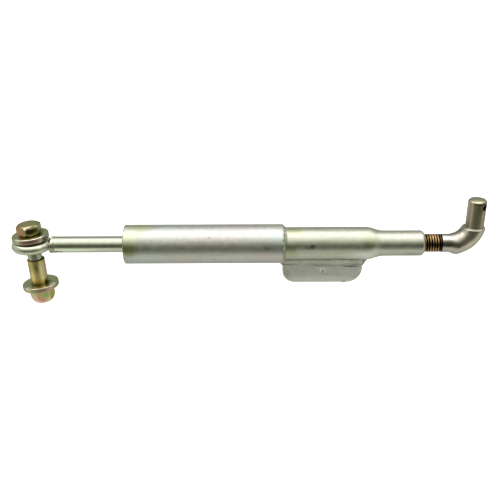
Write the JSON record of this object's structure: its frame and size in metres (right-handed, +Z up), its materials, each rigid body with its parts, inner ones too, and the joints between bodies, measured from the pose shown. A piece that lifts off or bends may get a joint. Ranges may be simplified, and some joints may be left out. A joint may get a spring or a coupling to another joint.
{
  "type": "tractor stabilizer bar",
  "caption": "Telescopic stabilizer bar with a bolted eye at one end, a sliding rod in a tube with a turning lug, and a screwed hook with an upright pin at the other.",
  "frame": {"origin": "centre of the eye, on the bar's axis", "axes": "+X along the bar from the eye to the hook; +Z up, the way the hook's pin points"},
  "size_m": [0.4591, 0.0386, 0.1063],
  "materials": {
    "clear_zinc": "clear zinc plating over drawn tube and bar, satin",
    "plated_weld": "zinc plating over a weld bead",
    "plated_forging": "dull zinc plating over a forging",
    "yellow_zinc": "yellow passivated zinc on fasteners",
    "bare_steel": "bare greased steel, inside"
  },
  "bodies": {
    "hook": {"hook": "plated_forging", "hook_stop_clip": "bare_steel"},
    "hook_ring": {"hook_stop_ring": "bare_steel"},
    "tube": {"outer_tube": "clear_zinc", "guide_bush": "bare_steel", "swaged_tube": "clear_zinc", "turning_lug": "clear_zinc", "lug_weld_front": "plated_weld", "lug_weld_rear": "plated_weld", "lug_weld_ends": "plated_weld", "tube_joint_weld": "plated_weld"},
    "rod_stop": {"stop_washer": "bare_steel"},
    "rod": {"slide_rod": "clear_zinc", "stop_nut": "bare_steel", "eye_ring": "clear_zinc", "eye_weld": "plated_weld"},
    "washer": {"head_washer": "yellow_zinc"},
    "bolt": {"eye_bolt": "yellow_zinc", "bolt_nut": "yellow_zinc", "nut_washer": "yellow_zinc"},
    "bush": {"bolt_bush": "yellow_zinc"}
  },
  "joints": [
    {"name": "tube_turn", "type": "hinge", "parent": "hook", "child": "hook_ring", "pos_m": [0.30385, 0, 0], "axis": [1, 0, 0], "range_deg": [-2880, 2332.3]},
    {"name": "tube_advance", "type": "slide", "parent": "hook_ring", "child": "tube", "axis": [1, 0, 0], "range_m": [-0.02, 0.0162]},
    {"name": "rod_slide", "type": "slide", "parent": "tube", "child": "rod_stop", "axis": [1, 0, 0], "range_m": [-0.048, 0.05]},
    {"name": "rod_turn", "type": "hinge", "parent": "rod_stop", "child": "rod", "pos_m": [0.16235, 0, 0], "axis": [1, 0, 0], "continuous": true},
    {"name": "bolt_tilt", "type": "hinge", "parent": "rod", "child": "washer", "pos_m": [-0.0142, 0, 0], "axis": [0, 0.9998, -0.0209], "range_deg": [0, 4]},
    {"name": "bolt_spin", "type": "hinge", "parent": "washer", "child": "bolt", "pos_m": [0.0001, 0, 0], "axis": [-0.0802, 0.0209, 0.9966], "continuous": true},
    {"name": "bush_slide", "type": "slide", "parent": "bolt", "child": "bush", "axis": [-0.0802, 0.0209, 0.9966], "range_m": [0, 0.01]}
  ],
  "couplings": [
    {"joint": "tube_advance", "follows": "tube_turn", "m_per_rad": 0.00039789}
  ]
}
